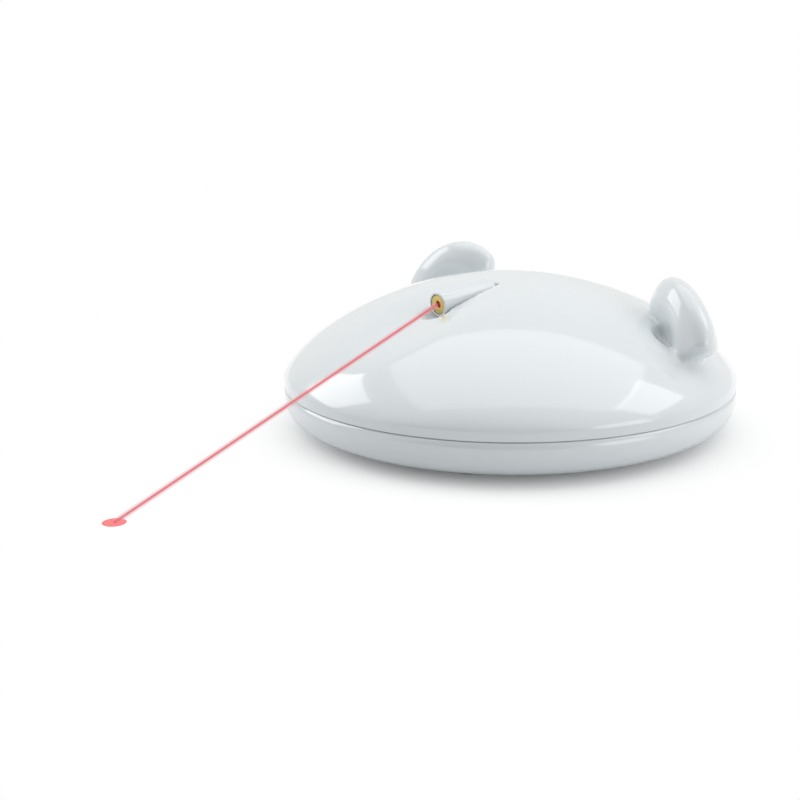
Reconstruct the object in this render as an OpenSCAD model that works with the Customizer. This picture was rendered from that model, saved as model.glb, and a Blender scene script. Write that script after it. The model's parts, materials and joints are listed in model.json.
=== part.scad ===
// Automatic laser toy for cats: a round, low, mouse-headed case whose top turns on its base
// while a small nodding barrel in the top throws a laser dot on the floor.
// Millimetres. +Z is up, the barrel points along -Y, the feet stand on z = 0,
// and the Z axis is the axis that the top turns about.

/* [Case] */
// Largest diameter of the case
case_d = 160; // [150:1:180]
// Height of the dome at its middle, above the floor
dome_h = 53.6; // [50:0.5:60]
// Height of the widest line of the case
widest_h = 19; // [18:0.5:22]
// Height of the running gap between the fixed base and the turning top
seam_h = 15.8; // [15:0.1:17]
// Width of that running gap
seam_gap = 0.45; // [0.3:0.05:0.8]
// Wall of both shells
wall = 2.2; // [1.8:0.1:3]
// Height of the underside of the base above the floor
belly_h = 1.6; // [1.2:0.1:2.4]
// Radius of the flat part of the underside
belly_r = 50; // [44:1:54]
// Roundness of the base's side, higher is squarer
base_round = 3.6; // [2.5:0.1:4.5]

/* [Ears] */
// Distance of each ear's middle inside the case's side
ear_in = 21.2; // [20:0.2:26]
// How far behind the turning axis the ears stand
ear_y = 26; // [20:0.5:30]
// Height of each ear's middle above the widest line
ear_up = 9.6; // [8:0.2:12]
// How far each ear is turned to face inwards, in degrees
ear_toe = 25; // [10:1:30]
// How far each ear's long axis leans inwards, in degrees
ear_lean = 24; // [10:1:30]
// How far each ear nods forwards, in degrees
ear_nod = 5; // [0:1:10]
// Half the width of an ear
ear_half_w = 21; // [18:0.5:22]
// Half the length of an ear along its long axis
ear_half_l = 28.6; // [26:0.2:30]
// Half the thickness of an ear
ear_half_t = 9.4; // [8:0.2:11]
// Radius of the ball that rounds each ear's underside off
flank_r = 22.9; // [22:0.1:24]
// Radius of the ball that hollows each ear's face
scoop_r = 22; // [20:0.5:26]
// Thickness that the hollow leaves in front of the ear's middle plane
scoop_left = 5.6; // [4.8:0.1:7]
// Radius of the ball that sinks a small lip into the dome before each ear
lip_ball_r = 14; // [13:0.2:14.4]

/* [Laser barrel] */
// Outer diameter of the barrel
barrel_d = 8.4; // [8:0.1:9]
// Length of the barrel
barrel_l = 24; // [23.6:0.2:24.4]
// Distance of the barrel's front face ahead of the turning axis
barrel_y = 32.8; // [31:0.2:34]
// Height of the middle of the barrel's front face
barrel_z = 46.9; // [46:0.1:47.5]
// Nose-down pitch of the barrel at rest, in degrees
barrel_pitch = 5; // [4:0.5:6]
// Diameter of the brass laser module, a common stock size
module_d = 6.5; // [6.5:0.1:6.5]
// Length of the brass laser module
module_l = 12; // [11.5:0.5:12.5]
// Gap on each side of the barrel in its slot
slot_gap = 0.35; // [0.3:0.05:0.4]
// Gap under the barrel in its slot
under_gap = 0.5; // [0.5:0.05:0.7]
// Distance of the nodding axis ahead of the turning axis
pivot_y = 11.4; // [11.2:0.1:11.6]
// Height of the nodding axis
pivot_z = 47; // [46.8:0.1:47.2]

/* [Cells] */
// Diameter of an AA cell
cell_d = 14.2; // [14:0.1:14.5]
// Length of an AA cell with its nub
cell_l = 50.5; // [50:0.1:50.5]
// Gap between neighbouring cells
cell_gap = 0.6; // [0.4:0.1:1]
// Length of each contact spring under its cell
spring_l = 4.5; // [4:0.1:5]
// Distance of the middle cell ahead of the turning axis
cell_y = 38.6; // [38:0.1:39]

/* [Fits] */
// Radial clearance of each shaft that runs in a bore
run_gap = 0.05; // [0.02:0.01:0.1]
// Radial clearance of a screw or a pin seated in its bore
seat_gap = 0.02; // [0.01:0.01:0.03]
// Radial clearance of a screw in a through hole
screw_gap = 0.2; // [0.15:0.05:0.4]
// Shortening of each gear tooth along its pitch circle, for backlash
backlash = 0.1; // [0.08:0.01:0.14]
// Radius of every case screw's shank
screw_r = 1.5; // [1.4:0.05:1.6]

/* [Hidden] */
$fn = 96;
e = 0.01;
case_r = case_d / 2;
white = [0.93, 0.94, 0.95];
steel = [0.72, 0.73, 0.75];
green = [0.12, 0.36, 0.2];

// Levels
floor_top = belly_h + wall;
cell_z = floor_top + 0.3 + cell_d / 2;
deck_z = cell_z + cell_d / 2 + 1.1;
deck_top = deck_z + 2.2;
gear_z = deck_top + 0.5;
plate_z = gear_z + 8.4;
plate_top = plate_z + 2.5;
ring_gear_z = plate_z - 4.5;
cup_r = 50;
plate_r = cup_r + 4.8;
post_r = 6;
lip_r = case_r - wall - 1;
boss_r = 62;
boss_angles = [45, 135, 225, 315];
cup_angles = [60, 120, 240, 300];
cup_top = plate_top + 1.2;
post_top = plate_z - 0.6;
washer_r = 8.6;
foot_r = 6;
foot_ring = 58;

// Gear train from the turret back to the motor
m_turret = 1; n_turret = 72; n_small = 12; m_mid = 0.8; n_big = 40; m_fast = 0.6;
c2 = m_turret * (n_turret + n_small) / 2;
c1 = m_mid * (n_big + n_small) / 2;
c0 = m_fast * (n_big + n_small) / 2;
a2 = 150;
p2 = c2 * [cos(a2), sin(a2)];
a21 = a2 + 65.7;
p1 = p2 + c1 * [cos(a21), sin(a21)];
a10 = -95;
p0 = p1 + c0 * [cos(a10), sin(a10)];
// Phase that puts a tooth of gear 2 in a gap of gear 1, at bearing a from gear 1
function mate(n1, ph1, n2, a) = let (f = (a - ph1) * n1 / 360) a + 180 - (0.5 - f) * 360 / n2;
ph_small2 = mate(n_turret, 0, n_small, a2);
ph_big2 = 0;
ph_small1 = mate(n_big, ph_big2, n_small, a21);
ph_big1 = 0;
ph_motor = mate(n_big, ph_big1, n_small, a10);

// Nodding drive
n_sector = 60; m_nod = 0.6; n_nod = 12;
c_nod = m_nod * (n_sector + n_nod) / 2;
a_nod = -21;
pivot = [0, -pivot_y, pivot_z];
nod_at = [0, -pivot_y + c_nod * cos(a_nod), pivot_z + c_nod * sin(a_nod)];
ph_sector = a_nod;
ph_nod = mate(n_sector, ph_sector, n_nod, a_nod);
barrel_r = barrel_d / 2;
slot_half = barrel_r + slot_gap;
// Middles of the balls that shape an ear, along its side, length and face
flank_at = [4.1, 24.9, 0]; scoop_at = [-3, 9, scoop_r + scoop_left]; lip_ball_at = [4.9, 18.2, -0.4];
slot_end = -barrel_y + barrel_l * cos(barrel_pitch) + 0.8;
// Inner faces of the barrel's two posts
tower_x = barrel_r + 2.2;
tower_t = 2.4;

// Cells and their bay
contact_t = 0.5;
cell_pitch = cell_d + cell_gap;
bay_half = (cell_l + spring_l) / 2 + contact_t;
cell_rows = [-1, 0, 1];
bay_y0 = -cell_y - 1.5 * cell_pitch - 0.4;
bay_y1 = -cell_y + 1.5 * cell_pitch + 0.4;

foot_at = concat([for (s = [-1, 1]) [s * (bay_half - 1 + foot_r + 0.3), -47.5]],
  [for (s = [-1, 1]) [s * foot_ring * cos(20), foot_ring * sin(20)]]);

// Control board and power button
board_z = floor_top + 2.4;
board_t = 1.6;
board_w = 46;
board_y = case_r - 37;
board_hole_x = board_w / 2 - 4;
switch_z = board_z + board_t + 3;
button_r = 3.2;
button_travel = 1.2;
button_in = case_r - 11.8;
button_stop = case_r - 2.8;

// ---- Profiles ----
function dome_z(r, r0, h) = widest_h + h * pow(max(0, 1 - pow(r / r0, 1.84)), 1 / 1.38);
function base_x(t) = belly_r + (case_r - belly_r) * pow(cos(t), 2 / base_round);
function base_y(t, z0) = seam_h - (seam_h - z0) * pow(sin(t), 2 / base_round);
steps = 30;
module dome_shape(cut = 0) {
  r0 = case_r - cut; h = dome_h - widest_h - cut;
  polygon(concat([[0, widest_h + h]],
    [for (i = [1:steps]) let (t = 90 * i / steps, r = r0 * pow(sin(t), 1.15)) [r, dome_z(r, r0, h)]],
    [[r0, seam_h + seam_gap - (cut > 0 ? 1 : 0)], [0, seam_h + seam_gap - (cut > 0 ? 1 : 0)]]));
}
module base_shape(cut = 0) {
  polygon(concat([[0, belly_h + cut]],
    [for (i = [0:30]) let (t = 90 - 3 * i)
      [base_x(t) - cut, max(belly_h + cut, base_y(t, belly_h + cut))]],
    [[case_r - cut, seam_h + (cut > 0 ? 1 : 0)], [0, seam_h + (cut > 0 ? 1 : 0)]]));
}
module base_solid(cut = 0) rotate_extrude() base_shape(cut);
module dome_solid(cut = 0) rotate_extrude() dome_shape(cut);

// ---- Gears ----
function inv(a) = tan(a) * 180 / PI - a;
function tooth_half(r, n, m) = let (rp = n * m / 2, rb = rp * cos(25))
  90 / n - backlash / 2 / rp * 180 / PI + inv(25) - (r > rb ? inv(acos(rb / r)) : 0);
module gear_shape(n, m, phase, first = 0, last = -1) {
  rp = n * m / 2;
  rs = [rp - 1.05 * m, rp, rp + 0.8 * m];
  ends = last < 0 ? [] : [[0, 0]];
  polygon(concat(ends, [for (i = [first:(last < 0 ? n - 1 : last)]) let (a = phase + i * 360 / n)
    for (k = [0:5]) let (r = rs[k < 3 ? k : 5 - k], s = (k < 3 ? -1 : 1) * tooth_half(r, n, m))
      r * [cos(a + s), sin(a + s)]]));
}
module gear(n, m, phase, h) linear_extrude(h) gear_shape(n, m, phase);

// ---- Screws ----
// Pan-head screw pointing down, head's underside at z = 0
module screw(len, head_r = 2.8, head_h = 2, r = screw_r) {
  difference() {
    cylinder(r1 = head_r, r2 = head_r - 0.5, h = head_h);
    for (a = [0, 90]) rotate([0, 0, a]) translate([-head_r * 0.6, -0.35, head_h - 0.9])
      cube([head_r * 1.2, 0.7, 1]);
  }
  translate([0, 0, -len]) cylinder(r = r, h = len + e);
}
module ring(r, list) for (a = list) rotate([0, 0, a]) translate([r, 0, 0]) children();
module tube(ro, ri, h) difference() {
  cylinder(r = ro, h = h);
  translate([0, 0, -e]) cylinder(r = ri, h = h + 2 * e);
}

// ---- Base ----
module bay_outline(grow = 0) translate([-bay_half + 1 - grow, bay_y0 + 1 - grow])
  square([2 * (bay_half - 1 + grow), bay_y1 - bay_y0 - 2 + 2 * grow]);
door_boss = [0, bay_y1 + 5.4];
module lower_shell() color(white) difference() {
  union() {
    difference() { base_solid(); base_solid(wall); }
    rotate_extrude() polygon([[lip_r - 1.4, seam_h - 2.6], [lip_r, seam_h - 2.6],
      [case_r - 1.2, seam_h - 1.4], [case_r - 1.2, seam_h], [lip_r, seam_h], [lip_r, seam_h + 2.8],
      [lip_r - 1.4, seam_h + 2.8]]);
    ring(boss_r, boss_angles) translate([0, 0, floor_top - e]) cylinder(r = 4, h = deck_z - floor_top + e);
    for (s = [-1, 1]) translate([s * (bay_half + 0.8) - 0.8, bay_y0 - 1.6, floor_top - e])
      cube([1.6, bay_y1 - bay_y0 + 3.2, 12]);
    for (y = [bay_y0 - 1.6, bay_y1]) translate([-bay_half - e, y, floor_top - e])
      cube([2 * bay_half + 2 * e, 1.6, 9]);
    translate([door_boss[0], door_boss[1], floor_top - e]) cylinder(r = 4.2, h = 5);
    for (s = [-1, 1]) translate([s * board_hole_x, board_y + 4, floor_top - e])
      cylinder(r = 3, h = board_z - floor_top + e);
    for (s = [-1, 1]) translate([s * board_hole_x - 1.5, board_y + 16, floor_top - e])
      cube([3, 3, board_z - floor_top + e]);
  }
  ring(boss_r, boss_angles) translate([0, 0, floor_top + 3]) cylinder(r = screw_r + seat_gap, h = 30);
  for (p = foot_at) translate([p[0], p[1], belly_h - 3]) cylinder(r = foot_r + seat_gap, h = 3.5);
  translate([0, 0, -e]) linear_extrude(floor_top + 2 * e) bay_outline(0.3);
  translate([door_boss[0] - 6.3, bay_y1 - 1.3, -e]) cube([12.6, 11.1, belly_h + 1.3 + e]);
  translate([door_boss[0], door_boss[1], 0]) cylinder(r = 1.25 + seat_gap, h = floor_top + 4);
  for (s = [-1, 1]) translate([s * board_hole_x, board_y + 4, floor_top - 1])
    cylinder(r = 1 + seat_gap, h = 5);
  translate([0, button_stop, switch_z]) rotate([-90, 0, 0]) cylinder(r = button_r + 0.25, h = 5);
  translate([0, button_stop - 7.2, switch_z]) rotate([-90, 0, 0]) cylinder(r = button_r + 1.8, h = 7.2 + e);
}

module rubber_feet() color([0.16, 0.16, 0.17]) for (p = foot_at) translate([p[0], p[1], 0]) {
  cylinder(r1 = foot_r - 0.4, r2 = foot_r, h = 0.4);
  translate([0, 0, 0.4 - e]) cylinder(r = foot_r, h = belly_h + 0.1 + e);
}

module battery_door() color(white) difference() {
  union() {
    intersection() {
      difference() { base_solid(); translate([0, 0, floor_top]) cylinder(r = case_r, h = 30); }
      translate([0, 0, -e]) linear_extrude(20) bay_outline();
    }
    translate([-6, bay_y1 - 1.4, belly_h]) cube([12, 10.9, 1.2]);
  }
  translate([door_boss[0], door_boss[1], 0]) cylinder(r = 1.25 + screw_gap, h = 10);
  for (x = [-6:4:6]) translate([x - 0.6, -cell_y - 7, belly_h - e]) cube([1.2, 14, 0.5]);
}

module door_screw() color(steel) translate([door_boss[0], door_boss[1], belly_h]) rotate([180, 0, 0])
  screw(5.6, 2.4, 1.1, 1.25);

// One cell along +X from x = 0, nub at the far end
module cell() rotate([0, 90, 0]) {
  cylinder(r = cell_d / 2, h = cell_l - 1.5);
  translate([0, 0, cell_l - 1.5 - e]) cylinder(r = 2.75, h = 1.5 + e);
}
module cell_place(i) translate([0, -cell_y + i * cell_pitch, cell_z])
  mirror([i == 0 ? 1 : 0, 0, 0]) children();
module cells() color([0.2, 0.45, 0.75]) for (i = cell_rows) cell_place(i)
  translate([bay_half - contact_t - cell_l, 0, 0]) cell();

module cell_contacts() color(steel) for (i = cell_rows) cell_place(i) {
  for (x = [bay_half - contact_t, -bay_half]) translate([x, -cell_d / 2 + 2.1, -cell_d / 2 + 1.1])
    cube([contact_t, cell_d - 4.2, cell_d - 2.2]);
  for (k = [0:3]) translate([-bay_half + 0.9 + k * (spring_l - 0.9) / 3, 0, 0]) rotate([0, 90, 0])
    rotate_extrude() translate([5 - 0.7 * k, 0]) circle(r = 0.45, $fn = 24);
  for (k = [0:2]) translate([-bay_half + 0.9 + k * (spring_l - 0.9) / 3, 4.4 - 0.7 * k - 0.35, -0.3])
    cube([(spring_l - 0.9) / 3, 0.9, 0.6]);
}

module chassis() color([0.25, 0.26, 0.28]) difference() {
  union() {
    translate([0, 0, deck_z]) cylinder(r = boss_r + 5, h = deck_top - deck_z);
    translate([0, 0, deck_top - e]) cylinder(r = 9, h = ring_gear_z - deck_top + e);
    translate([0, 0, ring_gear_z - e]) cylinder(r = post_r - run_gap, h = post_top - ring_gear_z + e);
    for (p = [p1, p2]) translate([p[0], p[1], deck_top - e]) cylinder(r = 3, h = 0.45);
    ring(cup_r + 2, [20, 80, 255, 315]) translate([0, 0, deck_top - e])
      cylinder(r1 = 3, r2 = 1.8, h = plate_z - deck_top - 0.1);
    for (s = [-1, 1]) translate([-4, s * brush_foot - 4, deck_top - e]) cube([8, 8, 1.5 + e]);
    translate([p0[0], p0[1], deck_z - 2]) difference() {
      cylinder(r = 12, h = 2 + e);
      translate([0, 0, -1]) cylinder(r = 10.2, h = 3);
    }
  }
  translate([0, 0, post_top - 6.4]) cylinder(r = screw_r + seat_gap, h = 20);
  ring(boss_r, boss_angles) translate([0, 0, deck_z - 1]) cylinder(r = screw_r + screw_gap, h = 5);
  for (p = [p1, p2]) translate([p[0], p[1], deck_z - 1]) cylinder(r = 1.5 + seat_gap, h = 6);
  translate([p0[0], p0[1], deck_z - 1]) cylinder(r = 3.2, h = 6);
  for (a = [a10 + 90, a10 - 90]) translate([p0[0] + 6.5 * cos(a), p0[1] + 6.5 * sin(a), deck_z - 1])
    cylinder(r = 1 + screw_gap, h = 6);
  translate([44, 0, deck_z - 1]) cylinder(r = 9, h = 5);
  translate([0, board_y + 3, deck_z - 1]) cylinder(r = 8, h = 5);
}

module chassis_screws() color(steel) ring(boss_r, boss_angles) translate([0, 0, deck_top]) screw(12);

module drive_motor() color([0.62, 0.64, 0.66]) translate([p0[0], p0[1], 0]) difference() {
  union() {
    translate([0, 0, floor_top + 1.4]) cylinder(r = 10, h = deck_z - floor_top - 1.4);
    translate([0, 0, deck_z - e]) cylinder(r = 3, h = 1.2);
    translate([0, 0, floor_top + 0.6]) cylinder(r = 3, h = 1);
  }
  translate([0, 0, deck_z - 8.4]) cylinder(r = 1 + run_gap, h = 20);
  for (a = [a10 + 90, a10 - 90]) rotate([0, 0, a]) translate([6.5, 0, deck_z - 4])
    cylinder(r = 1 + seat_gap, h = 5);
}
module motor_screws() color(steel) for (a = [a10 + 90, a10 - 90])
  translate([p0[0] + 6.5 * cos(a), p0[1] + 6.5 * sin(a), deck_top])
    screw(deck_top - deck_z + 3, 1.9, 1.2, 1);
module motor_shaft() color(steel) translate([p0[0], p0[1], deck_z - 8.2])
  cylinder(r = 1, h = gear_z + 5.6 - deck_z + 8.2);
module motor_pinion() color([0.93, 0.9, 0.82]) translate([p0[0], p0[1], gear_z + 2.6]) difference() {
  gear(n_small, m_fast, ph_motor, 2.8);
  translate([0, 0, -e]) cylinder(r = 1 + seat_gap, h = 5);
}
module gear_axles() color(steel) for (p = [concat(p1, 6.2), concat(p2, 7.2)])
  translate([p[0], p[1], deck_z]) cylinder(r = 1.5, h = gear_z + p[2] - deck_z);
module compound_gear_1() color([0.93, 0.9, 0.82]) translate([p1[0], p1[1], gear_z]) difference() {
  union() {
    gear(n_small, m_mid, ph_small1, 3);
    translate([0, 0, 3 - e]) gear(n_big, m_fast, ph_big1, 2 + e);
    translate([0, 0, 5 - e]) cylinder(r = 3, h = 0.8);
  }
  translate([0, 0, -e]) cylinder(r = 1.5 + run_gap, h = 20);
}
module compound_gear_2() color([0.93, 0.9, 0.82]) translate([p2[0], p2[1], gear_z]) difference() {
  union() {
    gear(n_big, m_mid, ph_big2, 2);
    translate([0, 0, 2 - e]) gear(n_small, m_turret, ph_small2, 4.8);
  }
  translate([0, 0, -e]) cylinder(r = 1.5 + run_gap, h = 20);
}

module post_washer() color(steel) translate([0, 0, post_top]) tube(washer_r, screw_r + screw_gap, 0.8);
module post_screw() color(steel) translate([0, 0, post_top + 0.8]) screw(6.5, 3.2, 1.6);

brush_r = [17.5, 23.5];
brush_foot = (brush_r[0] + brush_r[1]) / 2 - 1;
module contact_brushes() color([0.82, 0.6, 0.32]) for (i = [0, 1]) rotate([0, 0, i == 0 ? 90 : -90]) {
  r = brush_r[i];
  translate([brush_foot - 3, -3, deck_top + 1.5]) cube([6, 6, 0.4]);
  translate([r - 1, -3, deck_top + 1.5]) cube([2, 0.4, plate_z - 2.7 - deck_top]);
  translate([r - 1, -3, plate_z - 1.55]) cube([2, 4, 0.4]);
  translate([r, 0.2, plate_z - 1.15 - e]) intersection() {
    translate([0, 0, -1]) sphere(r = 1.18);
    translate([-2, -2, 0]) cube([4, 4, 2]);
  }
}

module control_board() color(green) difference() {
  translate([-board_w / 2, board_y, board_z]) cube([board_w, 22, board_t]);
  for (s = [-1, 1]) translate([s * board_hole_x, board_y + 4, board_z - 1])
    cylinder(r = 1 + screw_gap, h = 4);
}
module board_chips() color([0.12, 0.12, 0.13]) translate([0, board_y, board_z + board_t]) {
  translate([-12, 4, 0]) cube([9, 6, 1.6]);
  translate([4, 3, 0]) cube([5, 4, 1.3]);
  translate([13, 12, 0]) cylinder(r = 2.5, h = 6);
  translate([-15, 14, 0]) cube([3.2, 1.6, 1]);
}
module board_screws() color(steel) for (s = [-1, 1])
  translate([s * board_hole_x, board_y + 4, board_z + board_t]) screw(board_t + 3, 1.9, 1.2, 1);
switch_y = board_y + 17;
switch_d = 4.6;
module tact_switch() color([0.15, 0.15, 0.16]) {
  translate([-3, switch_y, board_z + board_t]) cube([6, switch_d, 6]);
  translate([0, switch_y + switch_d - e, switch_z]) rotate([-90, 0, 0])
    cylinder(r = 1.7, h = button_in - button_travel - 0.1 - switch_y - switch_d + e);
}
// A cap with a flange that stops 0.3 mm behind the wall, and a stem that reaches the switch
module power_button() color([0.82, 0.84, 0.86]) translate([0, button_in, switch_z]) rotate([-90, 0, 0]) {
  cylinder(r = 2.2, h = button_stop - 1 - button_in);
  translate([0, 0, button_stop - 1.5 - button_in]) cylinder(r = button_r + 1.3, h = 1.2);
  translate([0, 0, button_stop - 1 - button_in]) cylinder(r = button_r, h = case_r - 0.5 - button_stop + 1);
  translate([0, 0, case_r - 0.5 - button_in - e]) cylinder(r1 = button_r, r2 = button_r - 0.4, h = 0.4);
}

// ---- Turning top ----
module egg(half) scale(half) sphere(r = 1);
// In an ear's own axes X runs outwards, Y up and Z forwards
module ear_place() translate([case_r - ear_in, ear_y, widest_h + ear_up]) rotate([0, 0, -ear_toe])
  rotate([90 + ear_nod, 0, 0]) children();
// Each ear is an egg sunk into the dome, its foot rounded off by a ball and its face hollowed by another
module ear(cut = 0) difference() {
  intersection() {
    ear_place() rotate([0, 0, ear_lean]) egg([ear_half_w - cut, ear_half_l - cut, ear_half_t - cut]);
    ear_place() translate(flank_at) sphere(r = flank_r - cut);
    translate([0, 0, widest_h]) cylinder(r = case_r - 0.1 - cut, h = 60);
  }
  ear_place() translate(scoop_at) sphere(r = scoop_r + cut);
}
module lip_ball(grow = 0) ear_place() translate(lip_ball_at) sphere(r = lip_ball_r + grow);
module both() { children(); mirror([1, 0, 0]) children(); }
trough_r = 34;
trough_fall = 17.2;
module trough(grow = 0) translate([0, 0.8 - barrel_y, barrel_z - 1.4]) rotate([90 + trough_fall, 0, 0])
  translate([0, trough_r, -60]) cylinder(r = trough_r + grow, h = 120);
module dimple(grow = 0) translate([0, -barrel_y - 1.9, barrel_z - 0.3]) sphere(r = barrel_r + 1 + grow);
// The slot is open upwards, and hugs the front half of the barrel's underside
module slot() {
  translate([-slot_half, -barrel_y - 0.7, barrel_z]) cube([2 * slot_half, barrel_y + 0.7 + slot_end, 26]);
  along_barrel() translate([0, 0, -0.7]) cylinder(r = barrel_r + under_gap, h = 16);
}
module top_shell() color(white) difference() {
  union() {
    difference() {
      union() {
        difference() { dome_solid(); dome_solid(wall); }
        intersection() {
          dome_solid();
          union() {
            both() lip_ball(wall);
            intersection() {
              trough(wall);
              translate([-17, -barrel_y - 33.2, barrel_z - 10.9]) cube([34, barrel_y + 29.2, 30]);
            }
            dimple(wall);
            ring(cup_r, cup_angles) translate([0, 0, cup_top]) cylinder(r = 3.6, h = 20);
          }
        }
      }
      both() lip_ball();
    }
    difference() { both() ear(); dome_solid(wall); }
  }
  both() ear(wall);
  trough();
  dimple();
  slot();
  ring(cup_r, cup_angles) translate([0, 0, cup_top - 1]) cylinder(r = screw_r + seat_gap, h = 6.2);
}
module shell_screws() color(steel) ring(cup_r, cup_angles) translate([0, 0, cup_top - 1.5])
  mirror([0, 0, 1]) screw(6.4, 2.8, 2);

module turret_plate() color([0.9, 0.9, 0.9]) difference() {
  union() {
    translate([0, 0, plate_z]) cylinder(r = plate_r, h = plate_top - plate_z);
    translate([0, 0, ring_gear_z + 0.1]) cylinder(r = 10, h = plate_top - ring_gear_z - 0.1);
    translate([0, 0, ring_gear_z]) gear(n_turret, m_turret, 0, plate_z - ring_gear_z + e);
    ring(cup_r, cup_angles) translate([0, 0, plate_z]) cylinder(r = 4.4, h = cup_top - plate_z);
    for (x = [tower_x, -tower_x - tower_t]) translate([x, 0, 0]) {
      translate([0, -pivot_y - 4, plate_top - e]) cube([tower_t, 7, 7 + e]);
      translate([0, -pivot_y - 2.3, plate_top - e]) cube([tower_t, 4.6, pivot_z - plate_top + e]);
      translate([0, -pivot_y, pivot_z]) rotate([0, 90, 0]) cylinder(r = 2.3, h = tower_t);
    }
    translate([-21, nod_at[1] - 6, plate_top - e]) cube([11.6, 12, nod_at[2] - 5 - plate_top + e]);
    for (s = [-1, 1]) translate([-11, nod_at[1] + s * 10, plate_top - e])
      cylinder(r = 2.6, h = nod_at[2] - 5 - plate_top + e);
  }
  translate([0, 0, ring_gear_z - 1]) cylinder(r = post_r, h = 30);
  translate([0, 0, post_top - 0.1]) cylinder(r = washer_r + 0.4, h = 10);
  translate([0, 0, ring_gear_z - 1]) tube(30, 14, plate_z - ring_gear_z + 1);
  ring(cup_r, cup_angles) translate([0, 0, plate_z - e]) cylinder(r = 3.1, h = cup_top - 1.5 - plate_z + e);
  ring(cup_r, cup_angles) translate([0, 0, plate_z]) cylinder(r = screw_r + screw_gap, h = 10);
  translate([-20, -pivot_y, pivot_z]) rotate([0, 90, 0]) cylinder(r = 1 + seat_gap, h = 40);
  for (s = [-1, 1]) translate([-11, nod_at[1] + s * 10, nod_at[2] - 8.6]) cylinder(r = 1 + seat_gap, h = 10);
  for (a = [195, 345]) rotate([0, 0, a]) translate([cup_r - 4, 0, ring_gear_z]) cylinder(r = 6, h = 20);
}
module slip_ring_board() color(green) translate([0, 0, plate_z - 0.8]) tube(27.5, 14.5, 0.8);
module slip_ring_tracks() color([0.85, 0.55, 0.3]) for (r = brush_r) translate([0, 0, plate_z - 0.9])
  tube(r + 1.7, r - 1.7, 0.1);
module pivot_pin() color(steel) translate([0, -pivot_y, pivot_z]) rotate([0, 90, 0])
  cylinder(r = 1, h = 2 * (tower_x + tower_t), center = true);

module tilt_motor() color([0.7, 0.68, 0.6]) difference() {
  union() {
    translate([-6.5, nod_at[1] - 6, nod_at[2] - 5]) cube([9, 12, 10]);
    intersection() {
      translate([-21, nod_at[1], nod_at[2]]) rotate([0, 90, 0]) cylinder(r = 6, h = 15);
      translate([-22, nod_at[1] - 10, nod_at[2] - 5]) cube([16, 20, 10]);
    }
    translate([2.5 - e, nod_at[1], nod_at[2]]) rotate([0, 90, 0]) cylinder(r = 2, h = 0.6);
  }
  translate([barrel_r - 9.2, nod_at[1], nod_at[2]]) rotate([0, 90, 0]) cylinder(r = 1 + run_gap, h = 20);
}
module motor_clip() color([0.85, 0.86, 0.87]) translate([-14, nod_at[1], 0]) difference() {
  union() {
    translate([0, -7.8, nod_at[2] - 5]) cube([6, 15.6, 11.6]);
    for (s = [-1, 1]) translate([0, s * 10 - 2.8, nod_at[2] - 5]) cube([6, 5.6, 1.6]);
  }
  translate([-1, -6, nod_at[2] - 6]) cube([8, 12, 11]);
  for (s = [-1, 1]) translate([3, s * 10, nod_at[2] - 6]) cylinder(r = 1 + screw_gap, h = 4);
}
module clip_screws() color(steel) for (s = [-1, 1])
  translate([-11, nod_at[1] + s * 10, nod_at[2] - 3.4]) screw(5, 1.9, 1.2, 1);

// ---- Nodding barrel ----
// Places parts drawn along +Z from the barrel's front face backwards
module along_barrel() translate([0, -barrel_y, barrel_z]) rotate([-90 + barrel_pitch, 0, 0]) children();
module laser_barrel() color(white) difference() {
  union() {
    along_barrel() cylinder(r1 = barrel_r - 0.3, r2 = barrel_r, h = 0.4);
    along_barrel() translate([0, 0, 0.4 - e]) cylinder(r = barrel_r, h = barrel_l - 1.2);
    along_barrel() translate([0, 0, barrel_l - 0.8 - 2 * e])
      cylinder(r1 = barrel_r, r2 = barrel_r - 0.8, h = 0.8);
    translate([0.2 - tower_x, -pivot_y, pivot_z]) rotate([0, 90, 0])
      cylinder(r = 2.1, h = tower_x + barrel_r - 0.1);
  }
  along_barrel() translate([0, 0, -e]) cylinder(r = module_d / 2 + 0.25, h = 0.9);
  along_barrel() cylinder(r = module_d / 2 + seat_gap, h = module_l + 0.5);
  along_barrel() cylinder(r = 2.9, h = module_l + 6.4);
  translate([-10, -pivot_y, pivot_z]) rotate([0, 90, 0]) cylinder(r = 1 + run_gap, h = 20);
}
module laser_module() color([0.8, 0.65, 0.3]) along_barrel() translate([0, 0, 0.25]) difference() {
  cylinder(r = module_d / 2, h = module_l);
  translate([0, 0, -e]) cylinder(r1 = 1.9, r2 = 1.2, h = 0.7);
  cylinder(r = 1.2, h = 1.8);
}
module laser_lens() color([0.5, 0.05, 0.05]) along_barrel() translate([0, 0, 0.95])
  cylinder(r = 1.2 - seat_gap, h = 1.1);
module laser_driver_board() color(green) along_barrel() translate([-2.3, -0.4, module_l + 0.25])
  cube([4.6, 0.8, 5.8]);
module tilt_sector() color([0.93, 0.9, 0.82]) translate([barrel_r + 0.1, -pivot_y, pivot_z])
  rotate([90, 0, 90]) difference() {
    linear_extrude(1.8) {
      gear_shape(n_sector, m_nod, ph_sector, -2, 3);
      circle(r = 2.1);
    }
    translate([0, 0, -e]) cylinder(r = 1 + run_gap, h = 4);
  }
module tilt_shaft() color(steel) translate([barrel_r - 9, nod_at[1], nod_at[2]]) rotate([0, 90, 0])
  cylinder(r = 1, h = 11.2);
module tilt_pinion() color([0.93, 0.9, 0.82]) translate([barrel_r, nod_at[1], nod_at[2]])
  rotate([90, 0, 90]) difference() {
    gear(n_nod, m_nod, ph_nod, 2);
    translate([0, 0, -e]) cylinder(r = 1 + seat_gap, h = 4);
  }

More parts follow.
